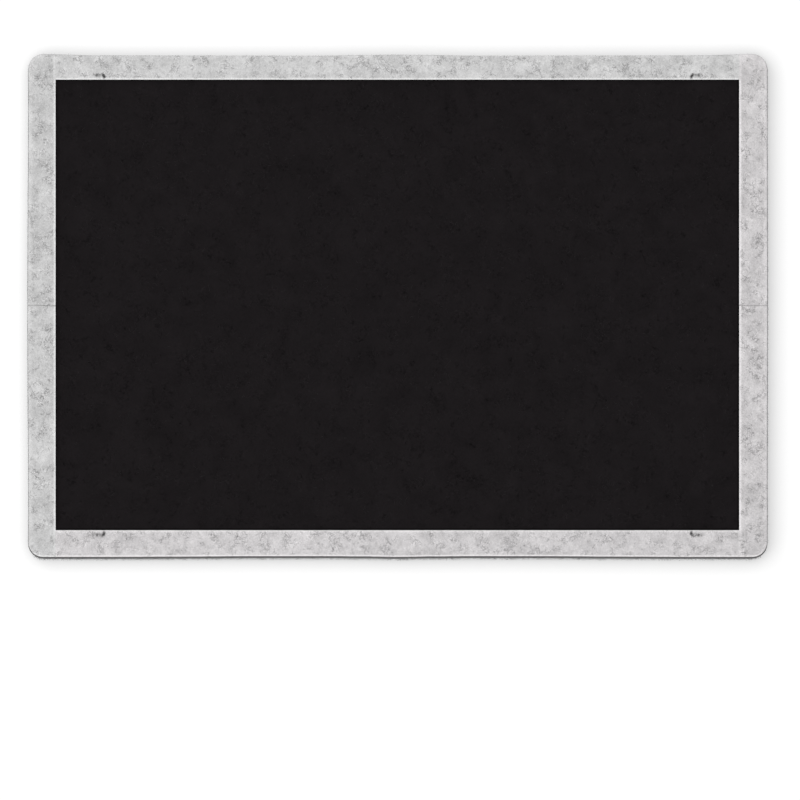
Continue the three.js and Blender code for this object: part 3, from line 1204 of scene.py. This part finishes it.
# Fibres of the edging: dark and pale ones in its face, and hairs out of its edges
edgingFibres = {
    "firstSeed": 100,
    "triesPerSquareMm": {"dark": 0.54, "pale": 0.4},
    "thinning": (0.1, 0.9),  # a try is kept where the wool gathers by more than a number drawn between these
    "tones": {"dark": (0.0, 0.45), "pale": (0.8, 1.0)},
    "strands": {
        "steps": 10,
        "radius": (0.025 * mm, 0.065 * mm),
        "length": (1.5 * mm, 6.0 * mm),
        "curl": 260.0,
    },
    "hairs": {
        "sides": sides,
        "perMm": 4.4,
        "length": (0.25 * mm, 0.85 * mm),
        "radius": (0.008 * mm, 0.018 * mm),
        "tones": (0.4, 1.0),
    },
}


def stripStrands(node, plate, shape, values, material, seed):
    # A strip's strands: tries spread evenly, kept where its wool gathers, then its tangles and its hairs
    random = np.random.default_rng(seed)
    low, high = cornersOf(plate)
    bundles = []
    for kind, density in values["triesPerSquareMm"].items():
        tries = round(density * (high - low).prod() / mm**2)
        starts = low + random.uniform(0, 1, (tries, 2)) * (high - low)
        gathered = gatheredOf(standing(starts, plate["front"]))
        starts = starts[random.uniform(*values["thinning"], tries) < gathered]
        toned = {**values["strands"], "tones": values["tones"][kind]}
        bundles.append(layStrands(random, plate, shape, starts, toned))
    for place, size, strength in tangleKnots():
        if outlineDepth(plate, place[None, :])[0] > 0:
            count = round(tangles["strandsEach"] * strength)
            starts = place + random.normal(0, tangles["strandSpread"] * size, (count, 2))
            paths, radii, tones, up = layStrands(random, plate, shape, starts, tangles["strands"])
            bundles.append((paths, radii, tones + tangles["paler"] * (1 - strength), up))
    hairs = edgeHairs(random, plate, shape, values["hairs"])
    return makeStrands(node + "_fibres", bundles, material), makeStrands(node + "_fuzz", [hairs], material)


# Loose black fibres of the panel, in small gatherings on its faces and as hairs out of its edges
panelFibres = {
    "seed": 77,
    "gatherings": 540,
    "strandsEach": 9,
    "spread": 3.2 * mm,
    "within": (0.005, 0.995),  # where gatherings lie, as shares of the field's width and height
    "margin": 3 * mm,
    "strands": {
        "steps": 7,
        "radius": (0.04 * mm, 0.09 * mm),
        "length": (1.2 * mm, 4.2 * mm),
        "curl": 420.0,
        "tones": [0.0, 0.05, 0.7, 1.0],
    },
    "hairs": (
        {
            "sides": sides,
            "perMm": 2.2,
            "length": (0.3 * mm, 1.1 * mm),
            "radius": (0.01 * mm, 0.02 * mm),
            "tones": (0.0, 0.6),
        },
        # The dense hairs below the bottom edge and those on the right are partly the felt's fuzz and partly a
        # dark fringe standing in for the soft shadow line beneath and beside the panel
        {
            "sides": ("bottom",),
            "perMm": 13.5,
            "length": (0.25 * mm, 1.6 * mm),
            "radius": (0.012 * mm, 0.026 * mm),
            "tones": (0.0, 0.8),
        },
        {
            "sides": ("right",),
            "perMm": 3.0,
            "length": (0.3 * mm, 1.2 * mm),
            "radius": (0.012 * mm, 0.026 * mm),
            "tones": (0.0, 0.8),
        },
    ),
}


def gatheredStrands(random, plate, shape, area, values, behind):
    # Strands in small gatherings over an area of the panel's front or back
    low, high = cornersOf(area)
    centres = low + random.uniform(*values["within"], (values["gatherings"], 2)) * (high - low)
    starts = np.repeat(centres, values["strandsEach"], axis=0)
    starts = starts + random.normal(0, values["spread"], starts.shape)
    starts = np.clip(starts, low + values["margin"], low + (high - low) - values["margin"])
    return layStrands(random, plate, shape, starts, values["strands"], behind)


def panelStrands(plate, shape, values, material):
    # The panel's strands: gatherings in the opening and over the whole back, and hairs of every kind
    random = np.random.default_rng(values["seed"])
    front = gatheredStrands(random, plate, shape, opening, values, False)
    hairs = [edgeHairs(random, plate, shape, kind) for kind in values["hairs"]]
    back = gatheredStrands(random, plate, shape, plate, values, True)
    bundles = {"panel_fibres": [front], "panel_fuzz": hairs, "panel_back_fibres": [back]}
    return [makeStrands(name, bundle, material) for name, bundle in bundles.items()]


# Stage: a pale wall behind the board and a pale floor below it, which fade out towards their rims. Only the
# camera sees them, and only from their fronts, so the board's back can be seen and lit.
stage = {
    "paint": toneOf(216),
    "whiten": 0.35,
    "speckleScale": 900.0,
    "speckleStep": (0.3, 0.7),
    "speckleTones": (0.99, 1.0),
    "wallBehind": 0.05 * mm,
    "wallHalf": 0.9,
    "floorLevel": -0.75,
    "floorHalf": 1.5,
    "fade": (0.5, 0.98),  # from full to nothing, as shares of the half width
    "ambient": 0.39,
    "key": {"place": (-0.55, -2.6, 0.31), "size": 3.6, "level": 1.05},
    "backFill": {"place": (0.7, 2.6, 0.8), "size": 2.0, "level": 0.45},
}


def makeStagePaint(name, middle, half):
    # Pale paint that glows a little: it is seen by camera ray times front times fade, and else it is clear
    material = bpy.data.materials.new(name + "Paint")
    tree = clearTree(material)
    coordinates = tree.node("TexCoord").outputs["Object"]
    speckle = tree.noise(coordinates, stage["speckleScale"])
    speckle = tree.between(speckle, *stage["speckleStep"], *stage["speckleTones"])
    paint = tree.node("BsdfDiffuse", Color=tree.mix(1.0, stage["paint"], speckle, "MULTIPLY"))
    glow = tree.node("Emission", Strength=stage["whiten"])
    lit = tree.node("AddShader", None, paint.outputs[0], glow.outputs[0])
    front = tree.math("SUBTRACT", 1.0, tree.node("NewGeometry").outputs["Backfacing"])
    away = tree.vectorMath("DISTANCE", coordinates, middle)["Value"]
    fade = tree.between(away, *(half * share for share in stage["fade"]), 1.0, 0.0)
    cameraRay = tree.node("LightPath").outputs["Is Camera Ray"]
    seen = tree.math("MULTIPLY", cameraRay, tree.math("MULTIPLY", front, fade))
    clear = tree.node("BsdfTransparent")
    mixed = tree.node("MixShader", None, seen, clear.outputs[0], lit.outputs[0])
    tree.node("OutputMaterial", Surface=mixed.outputs[0])
    return material


def makeStage():
    square = np.array(((-1, -1), (1, -1), (1, 1), (-1, 1)))
    wall = standing(square * stage["wallHalf"], stage["wallBehind"])
    floor = np.column_stack([square * stage["floorHalf"], np.full(4, stage["floorLevel"])])
    for name, rim, half in (("wall", wall, stage["wallHalf"]), ("floor", floor, stage["floorHalf"])):
        paint = makeStagePaint(name, rim.mean(axis=0), half)
        makeObject(name, rim, [[0, 1, 2, 3]], paint)


def makeLight(name, place, size, level):
    # Power that gives a surface facing the wall's way the light level asked for: level = P cos / (pi r)^2
    place = Vector(place)
    data = bpy.data.lights.new(name, "AREA")
    data.size = size
    data.energy = level * (math.pi * place.length) ** 2 * place.length / abs(place.y)
    lamp = addObject(name, data)
    lamp.location = place
    lamp.visible_camera = False
    lamp.rotation_euler = (-place).to_track_quat("-Z", "Y").to_euler()


def makeWorld():
    # Even light from all round, and plain white where the camera looks past the stage
    world = bpy.data.worlds.new("studio")
    tree = clearTree(world)
    path = tree.node("LightPath").outputs
    clear = tree.math("MAXIMUM", path["Is Camera Ray"], path["Is Transmission Ray"])
    strength = tree.math("MULTIPLY_ADD", clear, 1.0 - stage["ambient"], stage["ambient"])
    background = tree.node("Background", Color=(1, 1, 1, 1), Strength=strength)
    tree.node("OutputWorld", Surface=background.outputs[0])
    bpy.context.scene.world = world


makeCamera()
makeStage()
makeWorld()
makeLight("keyLight", **stage["key"])
makeLight("backFill", **stage["backFill"])
bpy.context.scene.view_settings.view_transform = "Standard"
print("camera, stage and lights made")

materials = {
    "greyFelt": makeGreyFelt(greyFelt),
    "blackFelt": makeBlackFelt(blackFelt, openingInMm),
    "foam": makeFoam(foamTape),
    "adhesive": makeAdhesive(adhesiveFilm),
    "greyFibre": makeFibre("greyFibre", looseFibre),
    "blackFibre": makeFibre("blackFibre", looseFibre),
}
print("materials made")

panelRadii = dict.fromkeys(cornerNames, panelShape["cornerRadius"])
panelPlate = plateOf("base_panel", radii=panelRadii, edges=dict.fromkeys(sides, "outer"))
for side, shift in panelShape["moved"].items():
    panelPlate[side] += shift
panel, _ = makePlate("panel_felt", panelPlate, panelShape, materials["blackFelt"], panelPaleAndHighlitBands)
panelPieces = [panel, *panelStrands(panelPlate, panelShape, panelFibres, materials["blackFibre"])]
for piece in panelPieces:
    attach(piece, "root")
    print(piece.name, "made,", len(piece.data.polygons), "faces")
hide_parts("base_panel")

for seed, node in enumerate(stripEdges, edgingFibres["firstSeed"]):
    plate = stripPlate(node)
    strip, points = makePlate(node + "_felt", plate, stripShape, materials["greyFelt"], stripPaleAndHighlitBands)
    for label, values in stripExtras(node, points, plate).items():
        setAttribute(strip, label, values)
    strands, fuzz = stripStrands(node, plate, stripShape, edgingFibres, materials["greyFibre"], seed)
    for piece in (strip, strands, fuzz):
        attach(piece, "root")
        print(piece.name, "made,", len(piece.data.polygons), "faces")
    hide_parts(node)

padRadii = dict.fromkeys(cornerNames, padShape["cornerRadius"])
for name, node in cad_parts.items():
    if "adhesive" in name:
        node.data.materials.clear()
        node.data.materials.append(materials["adhesive"])
    if name in padNodes:
        plate = plateOf(name, radii=padRadii, edges=dict.fromkeys(sides, "tape"))
        pad, _ = makePlate(name + "_foam", plate, padShape, materials["foam"])
        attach(pad, "root")
        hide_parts(name)
print(len(padNodes), "pads made, and the adhesive finished")
